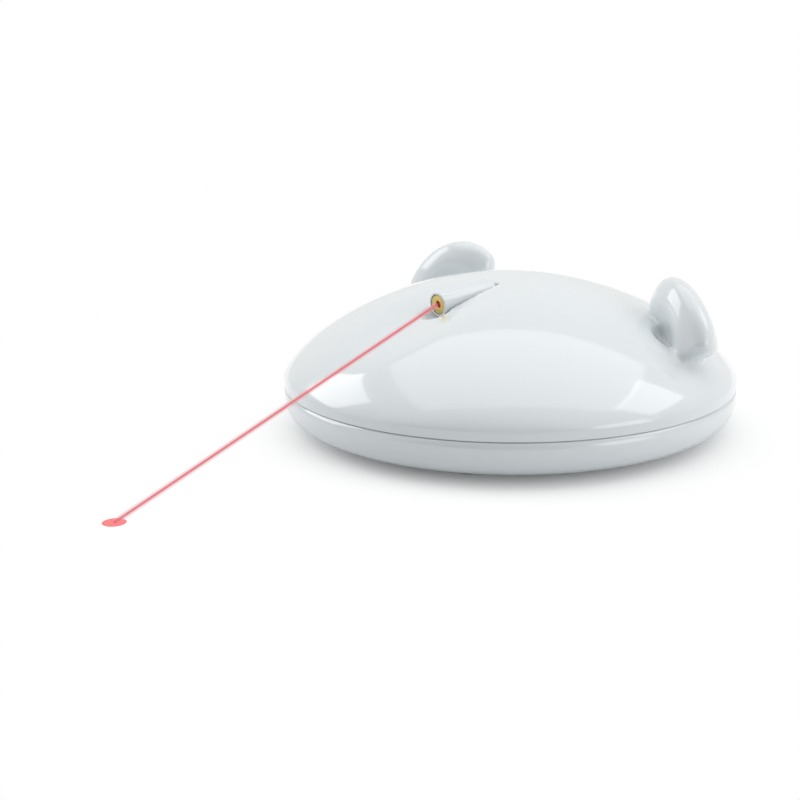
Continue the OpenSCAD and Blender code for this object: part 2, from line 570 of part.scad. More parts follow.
lower_shell();
rubber_feet();
battery_door();
door_screw();
cells();
cell_contacts();
chassis();
chassis_screws();
drive_motor();
motor_screws();
motor_shaft();
motor_pinion();
gear_axles();
compound_gear_1();
compound_gear_2();
post_washer();
post_screw();
contact_brushes();
control_board();
board_chips();
board_screws();
tact_switch();
power_button();
top_shell();
shell_screws();
turret_plate();
slip_ring_board();
slip_ring_tracks();
pivot_pin();
tilt_motor();
motor_clip();
clip_screws();
laser_barrel();
laser_module();
laser_lens();
laser_driver_board();
tilt_sector();
tilt_shaft();
tilt_pinion();
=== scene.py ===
"""Looks of the automatic cat laser toy: a glossy white mouse-headed case with a small nodding laser barrel.

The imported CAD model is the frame. This script dresses it. It replaces the turning top with one smoothly
blended moulding, the barrel and its laser with turned surfaces, and the case's other mouldings, button and
feet with copies whose curved bands are shaded as one surface. Every piece gets a finish. It also sets up the
photograph's camera, a white studio and the laser's beam. A piece's lengths are in millimetres until its mesh
is made, and the studio's are in metres.
"""

import json
import logging
import math
from dataclasses import dataclass, field
from enum import Enum
from typing import Callable

import bmesh
import bpy
import numpy as np
from mathutils import Matrix

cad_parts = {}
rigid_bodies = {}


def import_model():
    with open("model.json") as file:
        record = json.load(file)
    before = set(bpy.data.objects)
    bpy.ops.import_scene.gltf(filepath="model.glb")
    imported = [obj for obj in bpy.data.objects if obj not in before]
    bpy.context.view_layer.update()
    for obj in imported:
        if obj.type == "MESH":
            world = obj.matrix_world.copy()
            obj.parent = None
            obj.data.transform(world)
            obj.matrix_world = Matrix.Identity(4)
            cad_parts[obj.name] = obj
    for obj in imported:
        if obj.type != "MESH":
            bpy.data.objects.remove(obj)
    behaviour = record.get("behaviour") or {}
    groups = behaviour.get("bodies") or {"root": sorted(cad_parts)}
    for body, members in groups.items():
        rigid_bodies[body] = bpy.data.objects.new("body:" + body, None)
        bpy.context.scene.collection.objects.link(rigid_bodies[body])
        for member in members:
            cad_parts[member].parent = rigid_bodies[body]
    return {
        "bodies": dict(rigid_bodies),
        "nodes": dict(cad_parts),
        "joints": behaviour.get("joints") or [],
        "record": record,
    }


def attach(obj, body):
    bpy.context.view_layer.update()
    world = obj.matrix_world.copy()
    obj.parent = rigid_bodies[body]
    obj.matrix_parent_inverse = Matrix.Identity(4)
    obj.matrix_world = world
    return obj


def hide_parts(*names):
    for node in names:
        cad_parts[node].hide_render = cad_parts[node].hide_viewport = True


LOG = logging.getLogger("cat_laser_toy")
MM = 0.001
Array = np.ndarray
Colour = tuple[float, float, float]


# ---------------------------------------------------------------- finishes


def new_effect(name: str, drift_scale: float, grain_scale: float) -> bpy.types.ShaderNodeTree:
    """Makes an empty shader node group for a surface effect.

    Args:
        name: the group's name.
        drift_scale: default of the scale of its slow pattern.
        grain_scale: default of the scale of its fine pattern.
    Returns:
        The group, which puts out Tone, Drift and Height, with its end nodes named "in" and "out".
    """
    group = bpy.data.node_groups.new(name, "ShaderNodeTree")
    for label, default in (("Drift scale", drift_scale), ("Grain scale", grain_scale)):
        socket = group.interface.new_socket(name=label, in_out="INPUT", socket_type="NodeSocketFloat")
        socket.default_value = default
    for label in ("Tone", "Drift", "Height"):
        group.interface.new_socket(name=label, in_out="OUTPUT", socket_type="NodeSocketFloat")
    group.nodes.new("NodeGroupInput").name = "in"
    group.nodes.new("NodeGroupOutput").name = "out"
    return group


class Surface(Enum):
    """The kinds of fine surface that the finishes choose from."""

    MOULDED = "moulded"
    TURNED = "turned"


class EffectLibrary:
    """Builds each shared surface effect once, as a node group."""

    def __init__(self) -> None:
        """Starts with nothing built."""
        self._built: dict[Surface, bpy.types.ShaderNodeTree] = {}

    def get(self, kind: Surface) -> bpy.types.ShaderNodeTree:
        """Returns the group of that kind, built at its first use."""
        if kind not in self._built:
            maker = {Surface.MOULDED: self._moulded, Surface.TURNED: self._turned}[kind]
            self._built[kind] = maker()
        return self._built[kind]

    @staticmethod
    def _moulded() -> bpy.types.ShaderNodeTree:
        """Moulded surface: a slow drift of tone and of gloss, with a very shallow grain.

        Returns:
            A group that puts out Tone, Drift (of the gloss) and Height, each from 0 to 1.
        """
        group = new_effect("moulded_surface", 30.0, 900.0)
        nodes, links = group.nodes, group.links
        place = nodes.new("ShaderNodeTexCoord")
        slow = nodes.new("ShaderNodeTexNoise")
        slow.inputs["Detail"].default_value = 2.0
        fine = nodes.new("ShaderNodeTexNoise")
        fine.inputs["Detail"].default_value = 3.0
        soft = nodes.new("ShaderNodeTexNoise")
        soft.inputs["Scale"].default_value = 75.0
        soft.inputs["Detail"].default_value = 1.0
        for noise in (slow, fine, soft):
            links.new(place.outputs["Object"], noise.inputs["Vector"])
        links.new(nodes["in"].outputs["Drift scale"], slow.inputs["Scale"])
        links.new(nodes["in"].outputs["Grain scale"], fine.inputs["Scale"])
        links.new(slow.outputs["Fac"], nodes["out"].inputs["Tone"])
        links.new(soft.outputs["Fac"], nodes["out"].inputs["Drift"])
        links.new(fine.outputs["Fac"], nodes["out"].inputs["Height"])
        return group

    @staticmethod
    def _turned() -> bpy.types.ShaderNodeTree:
        """Turned metal: fine streaks from a noise stretched along one axis, and slow tarnish.

        Returns:
            A group that puts out Tone, Drift (of the gloss) and Height, each from 0 to 1.
        """
        group = new_effect("turned_surface", 220.0, 2600.0)
        nodes, links = group.nodes, group.links
        place = nodes.new("ShaderNodeTexCoord")
        stretch = nodes.new("ShaderNodeMapping")
        stretch.inputs["Scale"].default_value = (1.0, 0.08, 1.0)
        streak = nodes.new("ShaderNodeTexNoise")
        tarnish = nodes.new("ShaderNodeTexNoise")
        links.new(place.outputs["Object"], stretch.inputs["Vector"])
        links.new(stretch.outputs["Vector"], streak.inputs["Vector"])
        links.new(place.outputs["Object"], tarnish.inputs["Vector"])
        links.new(nodes["in"].outputs["Grain scale"], streak.inputs["Scale"])
        links.new(nodes["in"].outputs["Drift scale"], tarnish.inputs["Scale"])
        links.new(tarnish.outputs["Fac"], nodes["out"].inputs["Tone"])
        links.new(streak.outputs["Fac"], nodes["out"].inputs["Drift"])
        links.new(streak.outputs["Fac"], nodes["out"].inputs["Height"])
        return group


NOISE_SPAN = (0.3, 0.7)
BUMP_REACH = 0.0003


@dataclass(frozen=True)
class Finish:
    """One finish: its two shades of colour, its span of roughness and its fine surface."""

    name: str
    low: Colour
    high: Colour
    rough: tuple[float, float] = (0.3, 0.4)
    metallic: float = 0.0
    coat: float = 0.0
    coat_rough: float = 0.05
    ior: float = 1.46
    surface: Surface = Surface.MOULDED
    drift_scale: float = 30.0
    grain_scale: float = 900.0
    bump: float = 0.02
    glow: Colour | None = None
    glow_strength: float = 0.0

    def build(self, effects: EffectLibrary) -> bpy.types.Material:
        """Makes the material: the effect drives the colour, roughness and bump of one Principled BSDF.

        Args:
            effects: where the node groups come from.
        Returns:
            The material.
        """
        material = bpy.data.materials.new(self.name)
        material.use_nodes = True
        nodes, links = material.node_tree.nodes, material.node_tree.links
        shader = nodes["Principled BSDF"]
        effect = nodes.new("ShaderNodeGroup")
        effect.node_tree = effects.get(self.surface)
        effect.inputs["Drift scale"].default_value = self.drift_scale
        effect.inputs["Grain scale"].default_value = self.grain_scale
        tone = nodes.new("ShaderNodeValToRGB")
        for stop, position, colour in zip(tone.color_ramp.elements, NOISE_SPAN, (self.low, self.high)):
            stop.position, stop.color = position, (*colour, 1.0)
        gloss = nodes.new("ShaderNodeMapRange")
        gloss.inputs["From Min"].default_value, gloss.inputs["From Max"].default_value = NOISE_SPAN
        gloss.inputs["To Min"].default_value, gloss.inputs["To Max"].default_value = self.rough
        bump = nodes.new("ShaderNodeBump")
        bump.inputs["Strength"].default_value = self.bump
        bump.inputs["Distance"].default_value = BUMP_REACH
        links.new(effect.outputs["Tone"], tone.inputs["Fac"])
        links.new(tone.outputs["Color"], shader.inputs["Base Color"])
        links.new(effect.outputs["Drift"], gloss.inputs["Value"])
        links.new(gloss.outputs["Result"], shader.inputs["Roughness"])
        links.new(effect.outputs["Height"], bump.inputs["Height"])
        links.new(bump.outputs["Normal"], shader.inputs["Normal"])
        shader.inputs["Metallic"].default_value = self.metallic
        shader.inputs["IOR"].default_value = self.ior
        shader.inputs["Coat Weight"].default_value = self.coat
        shader.inputs["Coat Roughness"].default_value = self.coat_rough
        if self.glow is not None:
            shader.inputs["Emission Color"].default_value = (*self.glow, 1.0)
            shader.inputs["Emission Strength"].default_value = self.glow_strength
        return material


WHITE_SHELL = Finish(
    "white_shell", (0.785, 0.83, 0.85), (0.80, 0.845, 0.862), rough=(0.14, 0.2), coat=1.0, coat_rough=0.04,
    drift_scale=14.0, grain_scale=700.0, bump=0.01)
BUTTON_GREY = Finish(
    "button_grey", (0.55, 0.58, 0.61), (0.58, 0.61, 0.64), rough=(0.22, 0.3), coat=0.3)
BLACK_RUBBER = Finish(
    "black_rubber", (0.02, 0.02, 0.021), (0.035, 0.035, 0.036), rough=(0.7, 0.9),
    grain_scale=2600.0, bump=0.25)
DARK_PLASTIC = Finish(
    "dark_plastic", (0.022, 0.024, 0.028), (0.035, 0.037, 0.042), rough=(0.45, 0.6), bump=0.12)
INNER_PLASTIC = Finish(
    "inner_plastic", (0.62, 0.63, 0.64), (0.68, 0.69, 0.70), rough=(0.4, 0.55), bump=0.1)
GEAR_PLASTIC = Finish(
    "gear_plastic", (0.76, 0.71, 0.58), (0.82, 0.78, 0.66), rough=(0.35, 0.5), bump=0.05)
BOARD_GREEN = Finish(
    "board_green", (0.008, 0.07, 0.025), (0.014, 0.10, 0.04), rough=(0.25, 0.4),
    drift_scale=260.0, bump=0.05)
CELL_SLEEVE = Finish(
    "cell_sleeve", (0.02, 0.10, 0.26), (0.03, 0.13, 0.32), rough=(0.22, 0.34), coat=0.3, bump=0.03)
STEEL = Finish(
    "plated_steel", (0.56, 0.57, 0.59), (0.66, 0.67, 0.69), rough=(0.22, 0.36), metallic=1.0,
    surface=Surface.TURNED, bump=0.06)
ZINC = Finish(
    "zinc_can", (0.45, 0.46, 0.48), (0.55, 0.56, 0.58), rough=(0.3, 0.45), metallic=1.0,
    surface=Surface.TURNED, bump=0.05)
COPPER = Finish(
    "gilt_copper", (0.72, 0.42, 0.2), (0.8, 0.52, 0.28), rough=(0.2, 0.34), metallic=1.0,
    surface=Surface.TURNED, bump=0.05)
BRASS = Finish(
    "turned_brass", (0.62, 0.47, 0.16), (0.76, 0.62, 0.26), rough=(0.34, 0.46), metallic=1.0,
    surface=Surface.TURNED, grain_scale=3200.0, bump=0.12)
APERTURE = Finish(
    "laser_window", (0.10, 0.004, 0.004), (0.16, 0.008, 0.008), rough=(0.08, 0.12), bump=0.0,
    glow=(1.0, 0.03, 0.03), glow_strength=0.25)

NODE_FINISH: dict[str, Finish] = {
    "rubber_feet": BLACK_RUBBER, "battery_door": WHITE_SHELL, "door_screw": STEEL, "cells": CELL_SLEEVE,
    "cell_contacts": STEEL, "chassis": DARK_PLASTIC, "chassis_screws": STEEL, "drive_motor": ZINC,
    "motor_screws": STEEL, "motor_shaft": STEEL, "motor_pinion": GEAR_PLASTIC, "gear_axles": STEEL,
    "compound_gear_1": GEAR_PLASTIC, "compound_gear_2": GEAR_PLASTIC, "post_washer": STEEL,
    "post_screw": STEEL, "contact_brushes": COPPER, "control_board": BOARD_GREEN,
    "board_chips": DARK_PLASTIC, "board_screws": STEEL, "tact_switch": DARK_PLASTIC,
    "power_button": BUTTON_GREY, "shell_screws": STEEL,
    "turret_plate": INNER_PLASTIC, "slip_ring_board": BOARD_GREEN, "slip_ring_tracks": COPPER,
    "pivot_pin": STEEL, "tilt_motor": ZINC, "motor_clip": INNER_PLASTIC, "clip_screws": STEEL,
    "laser_driver_board": BOARD_GREEN, "tilt_sector": GEAR_PLASTIC, "tilt_shaft": STEEL,
    "tilt_pinion": GEAR_PLASTIC, "lower_shell": WHITE_SHELL,
}


class MaterialShelf:
    """Builds each finish once and hands it out."""

    def __init__(self) -> None:
        """Starts empty, with its own library of effects."""
        self._effects = EffectLibrary()
        self._made: dict[str, bpy.types.Material] = {}

    def get(self, finish: Finish) -> bpy.types.Material:
        """Returns that finish's material."""
        if finish.name not in self._made:
            self._made[finish.name] = finish.build(self._effects)
        return self._made[finish.name]


# ---------------------------------------------------------------- mesh helpers


def make_object(name: str, points: Array, faces: Array, material: bpy.types.Material,
                normals: Array | None = None, sharp_deg: float = 35.0) -> bpy.types.Object:
    """Makes a mesh object whose place is in its mesh.

    Args:
        name: the piece's name.
        points: vertices in millimetres, one row each.
        faces: vertex numbers, four (or three) to a row.
        material: its finish.
        normals: one normal a vertex, or None to let edges sharper than sharp_deg stay crisp.
        sharp_deg: that angle.
    Returns:
        The object, linked to the scene.
    """
    mesh = bpy.data.meshes.new(name)
    mesh.from_pydata((points * MM).tolist(), [], faces.tolist())
    mesh.validate()
    mesh.materials.append(material)
    if normals is None:
        shade_smooth(mesh, sharp_deg)
    else:
        mesh.polygons.foreach_set("use_smooth", np.ones(len(mesh.polygons), bool))
        mesh.normals_split_custom_set_from_vertices(normals.tolist())
        mesh.update()
    return link_object(name, mesh)


def link_object(name: str, data: bpy.types.ID) -> bpy.types.Object:
    """Makes an object of a mesh, light or camera and links it to the scene."""
    thing = bpy.data.objects.new(name, data)
    bpy.context.scene.collection.objects.link(thing)
    return thing


def shade_smooth(mesh: bpy.types.Mesh, sharp_deg: float) -> None:
    """Shades a mesh smoothly, but for the edges sharper than an angle in degrees."""
    mesh.polygons.foreach_set("use_smooth", np.ones(len(mesh.polygons), bool))
    mesh.set_sharp_from_angle(angle=math.radians(sharp_deg))
    mesh.update()


def weld(mesh: bpy.types.Mesh, reach: float, outwards: bool) -> None:
    """Merges a mesh's doubled points.

    Args:
        mesh: the mesh, in metres.
        reach: how far apart two points are still one.
        outwards: whether the faces of a closed mesh are then turned to point outwards.
    """
    work = bmesh.new()
    work.from_mesh(mesh)
    bmesh.ops.remove_doubles(work, verts=work.verts, dist=reach)
    if outwards:
        bmesh.ops.recalc_face_normals(work, faces=work.faces)
    work.to_mesh(mesh)
    work.free()


def stand(thing: bpy.types.Object, side: Array, up: Array, back: Array, place: Array) -> None:
    """Puts an object at a place, with its own X, Y and Z along the three directions side, up and back."""
    turn = np.eye(4)
    turn[:3] = np.stack([side, up, back, place], -1)
    thing.matrix_world = Matrix(turn.tolist())


def turned(first: Array, second: Array, angle: float) -> tuple[Array, Array]:
    """Turns two directions in their plane, the first towards the second: a cos + b sin, b cos - a sin."""
    c, s = math.cos(angle), math.sin(angle)
    return first * c + second * s, second * c - first * s


def lathe(profile: Array, turns: int, close: bool = True) -> tuple[Array, Array]:
    """Turns a profile about the Z axis: point (r, h) at angle a goes to (r cos a, r sin a, h).

    Args:
        profile: rows of radius and height.
        turns: how many steps make a full turn.
        close: whether the profile's last point joins its first.
    Returns:
        The points and the four-cornered faces.
    """
    angle = np.linspace(0.0, 2 * np.pi, turns, endpoint=False)
    r, h = profile[:, :1], profile[:, 1:]
    points = np.stack([r * np.cos(angle), r * np.sin(angle), h + 0 * angle], -1).reshape(-1, 3)
    count = len(profile)
    i, j = np.meshgrid(np.arange(count if close else count - 1), np.arange(turns), indexing="ij")
    i2, j2 = (i + 1) % count, (j + 1) % turns
    faces = np.stack([i * turns + j, i * turns + j2, i2 * turns + j2, i2 * turns + j], -1).reshape(-1, 4)
    return points, faces


def rounded(corners: list[tuple[float, float, float]], steps: int = 5) -> Array:
    """Rounds the corners of a closed profile.

    Each corner becomes a quadratic curve between two points set back from it along its two sides.

    Args:
        corners: rows of radius, height and set-back.
        steps: points along each rounded corner.
    Returns:
        The profile as rows of radius and height.
    """
    at = np.array([c[:2] for c in corners], float)
    back = np.array([c[2] for c in corners], float)[:, None]
    to_prev, to_next = np.roll(at, 1, 0) - at, np.roll(at, -1, 0) - at
    start = at + to_prev / np.linalg.norm(to_prev, axis=1, keepdims=True) * back
    end = at + to_next / np.linalg.norm(to_next, axis=1, keepdims=True) * back
    t = np.linspace(0.0, 1.0, steps)[None, :, None]
    curve = (1 - t) ** 2 * start[:, None] + 2 * t * (1 - t) * at[:, None] + t**2 * end[:, None]
    return curve.reshape(-1, 2)


def smooth_max(a: Array, b: Array, k: float) -> Array:
    """The larger of two fields, rounded over a width k where they are close."""
    h = np.clip(0.5 + 0.5 * (a - b) / k, 0.0, 1.0)
    return b + (a - b) * h + k * h * (1 - h)


def smooth_min(a: Array, b: Array, k: float) -> Array:
    """The smaller of two fields, rounded over a width k where they are close."""
    return -smooth_max(-a, -b, k)


def surface_net(values: Array, low: Array, cell: float) -> tuple[Array, Array]:
    """Meshes the zero surface of a field on a grid.

    Each cell that the surface crosses gets one point, and each grid edge that it crosses gets one face
    between the four cells round it.

    Args:
        values: the field at the grid's nodes.
        low: the place of the first node.
        cell: the grid's spacing.
    Returns:
        The points, each the mean of its cell's edge crossings, and four-cornered faces that point outwards.
    """
    inside = values < 0
    shape = np.array(values.shape) - 1
    total = np.zeros((*shape, 3), np.float32)
    count = np.zeros(shape, np.float32)
    crossed, falling = [], []
    for axis in range(3):
        lead = [slice(None)] * 3
        tail = [slice(None)] * 3
        lead[axis], tail[axis] = slice(0, -1), slice(1, None)
        a, b = values[tuple(lead)], values[tuple(tail)]
        hit = inside[tuple(lead)] != inside[tuple(tail)]
        share = np.where(hit, a / np.where(hit, a - b, 1.0), 0.0).astype(np.float32)
        crossed.append(hit)
        falling.append(inside[tuple(lead)])
        others = [k for k in range(3) if k != axis]
        for u in (0, 1):
            for v in (0, 1):
                part = [slice(None)] * 3
                part[others[0]] = slice(u, u + shape[others[0]])
                part[others[1]] = slice(v, v + shape[others[1]])
                mask = hit[tuple(part)]
                count += mask
                total[..., axis] += share[tuple(part)]
                total[..., others[0]] += mask * u
                total[..., others[1]] += mask * v
    used = count > 0
    number = np.full(used.shape, -1, np.int64)
    number[used] = np.arange(int(used.sum()))
    points = low + (np.argwhere(used) + total[used] / count[used][:, None]) * cell
    faces = []
    for axis in range(3):
        one, two = [(1, 2), (2, 0), (0, 1)][axis]
        at = np.argwhere(crossed[axis])
        keep = (at[:, one] > 0) & (at[:, two] > 0) & (at[:, one] < shape[one]) & (at[:, two] < shape[two])
        at = at[keep]
        out = falling[axis][tuple(at.T)]
        step_one, step_two = np.eye(3, dtype=int)[one], np.eye(3, dtype=int)[two]
        ring = [at, at - step_one, at - step_one - step_two, at - step_two]
        quad = np.stack([number[tuple(c.T)] for c in ring], -1)
        quad[~out] = quad[~out][:, ::-1]
        faces.append(quad)
    return points, np.concatenate(faces)


# ---------------------------------------------------------------- the turning top


@dataclass
class Egg:
    """An egg-shaped volume: an ellipsoid with its own place and turn."""

    centre: tuple[float, float, float]
    half: tuple[float, float, float]
    axes: Array

    def depth(self, p: Array) -> Array:
        """Distance from the egg's surface, negative inside: |p/s| (|p/s| - 1) / |p/s^2| for half sizes s."""
        local = (p - np.array(self.centre)) @ self.axes.T
        half = np.array(self.half)
        one = np.linalg.norm(local / half, axis=-1)
        two = np.linalg.norm(local / half**2, axis=-1) + 1e-9
        return one * (one - 1) / two


@dataclass
class TurningTop:
    """The dome with its two blended, hollow-faced ears, and the barrel's slot, trough and dimple.

    Angles are in degrees. A blend is the width over which two forms round into each other. One ear is drawn
    and the other is its mirror image. The flank's, scoop's and pocket's places run sideways, up and to the
    front from the ear's centre.
    """

    # the dome and its wall
    radius: float = 80.0
    top: float = 53.6
    widest: float = 19.0
    rim: float = 16.25
    wall: float = 2.2
    bow: float = 1.84
    crown: float = 1.38
    dome_limits: tuple[float, float] = (-30.0, 60.0)
    # the ear: an egg within the flank's ball; the scoop hollows its face, the pocket is sunk before its foot
    ear_at: tuple[float, float, float] = (58.8, 26.0, 28.6)
    ear_half: tuple[float, float, float] = (21.0, 28.6, 9.4)
    ear_toe: float = 25.0
    ear_lean: float = 24.0
    ear_nod: float = 5.0
    ear_reach: float = 79.0
    flank_at: tuple[float, float] = (4.1, 24.9)
    flank_r: float = 22.9
    flank_blend: float = 3.0
    scoop_at: tuple[float, float, float] = (-3.0, 9.0, 27.6)
    scoop_r: float = 22.0
    edge_blend: float = 4.0
    pocket_at: tuple[float, float, float] = (4.9, 18.2, -0.4)
    pocket_r: float = 14.0
    pocket_blend: float = 0.6
    # the ear's foot: between two distances from the middle plane, the blend with the dome grows wider
    foot: tuple[float, float] = (60.0, 80.0)
    foot_blend: tuple[float, float] = (1.4, 10.0)
    # the trough that the barrel lies in, and the ball scooped out before its front
    trough_r: float = 34.0
    trough_fall: float = 17.2
    trough_at: tuple[float, float] = (-32.0, 45.5)
    trough_blend: float = 5.0
    dimple_at: tuple[float, float, float] = (0.0, -34.7, 46.6)
    dimple_r: float = 5.2
    dimple_blend: float = 1.8
    # the slot: a box open upwards and a rod along the barrel's axis
    slot_half: float = 4.55
    slot_y: tuple[float, float] = (-33.5, -8.3)
    slot_from: tuple[float, float] = (-32.8, 46.9)
    slot_pitch: float = 5.0
    slot_rod_r: float = 4.7
    slot_span: tuple[float, float] = (-0.7, 15.3)
    slot_blend: float = 0.5
    # the mesh: the grid's cell and margins, how often points are settled, and which points the rim squares
    cell: float = 0.88
    margin: float = 1.3
    ears_above: float = 4.6
    settlings: int = 4
    slope_step: float = 0.05
    least_slope: float = 0.2
    rim_catch: float = 0.55
    edge_catch: float = 0.8
    ear: Egg = field(init=False)
    flank: Egg = field(init=False)
    scoop: Egg = field(init=False)
    pocket: Egg = field(init=False)

    def __post_init__(self) -> None:
        """Works out the eggs of one ear from its place and its three turns."""
        toe, lean, nod = (math.radians(v) for v in (self.ear_toe, self.ear_lean, self.ear_nod))
        side = np.array([math.cos(toe), -math.sin(toe), 0.0])
        front = np.array([-math.sin(toe), -math.cos(toe), 0.0])
        up = np.array([0.0, 0.0, 1.0])
        up, front = turned(up, front, nod)
        plain = np.stack([side, up, front])
        leant = np.stack([*turned(side, up, lean), front])
        here = np.array(self.ear_at)
        self.ear = Egg(tuple(here), self.ear_half, leant)
        self.flank = Egg(tuple(here + np.array([*self.flank_at, 0.0]) @ plain), (self.flank_r,) * 3, plain)
        self.scoop = Egg(tuple(here + np.array(self.scoop_at) @ plain), (self.scoop_r,) * 3, plain)
        self.pocket = Egg(tuple(here + np.array(self.pocket_at) @ plain), (self.pocket_r,) * 3, plain)

    def dome(self, p: Array, cut: float = 0.0) -> Array:
        """Distance from the dome, in which (r/R)^bow + ((z - widest)/H)^crown = 1, with R and H less cut.

        The sum less one is divided by its own slope, which makes it a distance near the surface.

        Args:
            p: places, in millimetres.
            cut: how far inside the outer form.
        Returns:
            The distance, negative inside.
        """
        radius, height = self.radius - cut, self.top - self.widest - cut
        r = np.hypot(p[..., 0], p[..., 1]) / radius + 1e-6
        h = np.maximum(p[..., 2] - self.widest, 0.0) / height + 1e-9
        outwards = self.bow / radius * r ** (self.bow - 1)
        upwards = self.crown / height * h ** (self.crown - 1)
        slope = np.hypot(outwards, upwards)
        return np.clip((r**self.bow + h**self.crown - 1) / slope, *self.dome_limits)

    def trough(self, p: Array) -> Array:
        """Distance from the inclined round trough that the barrel lies in."""
        y, z = p[..., 1] - self.trough_at[0], p[..., 2] - self.trough_at[1]
        lift = turned(y, z, math.radians(self.trough_fall))[1] - self.trough_r
        return np.hypot(p[..., 0], lift) - self.trough_r

    def dimple(self, p: Array) -> Array:
        """Distance from the ball that is scooped out before the barrel's front."""
        return np.linalg.norm(p - np.array(self.dimple_at), axis=-1) - self.dimple_r

    def slot(self, p: Array) -> Array:
        """Distance from the barrel's slot: a box open upwards, joined to a rod along the barrel's axis."""
        middle = sum(self.slot_y) / 2
        half = (self.slot_y[1] - self.slot_y[0]) / 2
        box = np.maximum(np.abs(p[..., 0]) - self.slot_half, np.abs(p[..., 1] - middle) - half)
        box = np.maximum(box, self.slot_from[1] - p[..., 2])
        y, z = p[..., 1] - self.slot_from[0], p[..., 2] - self.slot_from[1]
        back, off = turned(y, z, math.radians(self.slot_pitch))
        ends = np.maximum(self.slot_span[0] - back, back - self.slot_span[1])
        rod = np.maximum(np.hypot(p[..., 0], off) - self.slot_rod_r, ends)
        return np.minimum(box, rod)

    def outside(self, p: Array) -> Array:
        """The moulding's outer form.

        An ear is its egg within the flank's ball, less the scoop, kept within the case's reach. The dome
        less the pockets is blended with the ears, and the trough, the dimple and the slot are taken away.
        """
        folded = np.concatenate([np.abs(p[..., :1]), p[..., 1:]], -1)
        reach = np.hypot(p[..., 0], p[..., 1])
        ear = smooth_max(self.ear.depth(folded), self.flank.depth(folded), self.flank_blend)
        ear = smooth_max(ear, -self.scoop.depth(folded), self.edge_blend)
        ear = smooth_max(ear, reach - self.ear_reach, self.edge_blend)
        outwards = np.clip((folded[..., 0] - self.foot[0]) / (self.foot[1] - self.foot[0]), 0.0, 1.0)
        blend = self.foot_blend[0] + (self.foot_blend[1] - self.foot_blend[0]) * outwards
        dome = smooth_max(self.dome(p), -self.pocket.depth(folded), self.pocket_blend)
        form = np.maximum(smooth_min(dome, ear, blend), reach - self.radius)
        form = smooth_max(form, -self.trough(p), self.trough_blend)
        form = smooth_max(form, -self.dimple(p), self.dimple_blend)
        return smooth_max(form, -self.slot(p), self.slot_blend)

    def hollow(self, p: Array) -> Array:
        """The space inside: the dome less its wall, as far from the pockets, trough and dimple as well."""
        folded = np.concatenate([np.abs(p[..., :1]), p[..., 1:]], -1)
        space = self.dome(p, self.wall)
        space = smooth_max(space, self.wall - self.pocket.depth(folded), self.pocket_blend)
        space = smooth_max(space, self.wall - self.trough(p), self.trough_blend)
        return smooth_max(space, self.wall - self.dimple(p), self.dimple_blend)

    def shell(self, p: Array) -> Array:
        """The outer form less the hollow, above the rim."""
        return np.maximum(np.maximum(self.outside(p), -self.hollow(p)), self.rim - p[..., 2])

    def slope(self, p: Array) -> Array:
        """The shell's slope at each point, from its values a small step to each side along each axis."""
        step = self.slope_step
        sides = [(self.shell(p + step * axis), self.shell(p - step * axis)) for axis in np.eye(3)]
        return np.stack([(after - before) / (2 * step) for after, before in sides], -1)

    def mesh(self) -> tuple[Array, Array]:
        """Meshes the shell on the grid and settles each point on the true surface by Newton's method.

        Returns:
            The points and the four-cornered faces.
        """
        low = np.array([-self.radius - self.margin, -self.radius - self.margin, self.rim - 1.5 * self.cell])
        high = np.array([self.radius + self.margin, self.radius + self.margin, self.top + self.ears_above])
        axes = [np.arange(a, b, self.cell) for a, b in zip(low, high)]
        values = np.empty([len(a) for a in axes], np.float32)
        x, y = np.meshgrid(axes[0], axes[1], indexing="ij")
        for k, z in enumerate(axes[2]):
            values[:, :, k] = self.shell(np.stack([x, y, np.full_like(x, z)], -1))
        points, faces = surface_net(values, low, self.cell)
        for _ in range(self.settlings):
            slope = self.slope(points)
            size = np.maximum((slope**2).sum(-1), self.least_slope)
            move = self.shell(points)[:, None] * slope / size[:, None]
            points = points - np.clip(move, -0.5 * self.cell, 0.5 * self.cell)
        return points, faces

    def square_rim(self, points: Array) -> Array:
        """Moves the points by the rim onto its plane and its two circles, and works out all the normals.

        Args:
            points: the settled points, changed in place.
        Returns:
            One normal a point, from the shell's slope, and level on the rim's outer circle.
        """
        low = points[:, 2] < self.rim + self.rim_catch * self.cell
        r = np.hypot(points[:, 0], points[:, 1])
        outer = low & (np.abs(r - self.radius) < self.edge_catch * self.cell)
        inner = low & (np.abs(r - self.radius + self.wall) < self.edge_catch * self.cell)
        points[low, 2] = self.rim
        points[outer, :2] *= (self.radius / r[outer])[:, None]
        points[inner, :2] *= ((self.radius - self.wall) / r[inner])[:, None]
        normals = self.slope(points)
        normals[outer] = np.stack([points[outer, 0], points[outer, 1], 0 * r[outer]], -1)
        return normals / np.maximum(np.linalg.norm(normals, axis=1, keepdims=True), 1e-6)

    def build(self, material: bpy.types.Material) -> None:
        """Makes the piece.

        Args:
            material: its finish.
        """
        points, faces = self.mesh()
        normals = self.square_rim(points)
        piece = make_object("top_moulding", points, faces, material, normals)
        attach(piece, "turret")
        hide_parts("top_shell")
        LOG.info("top_moulding: %d points, %d faces", len(points), len(faces))


# ---------------------------------------------------------------- the barrel


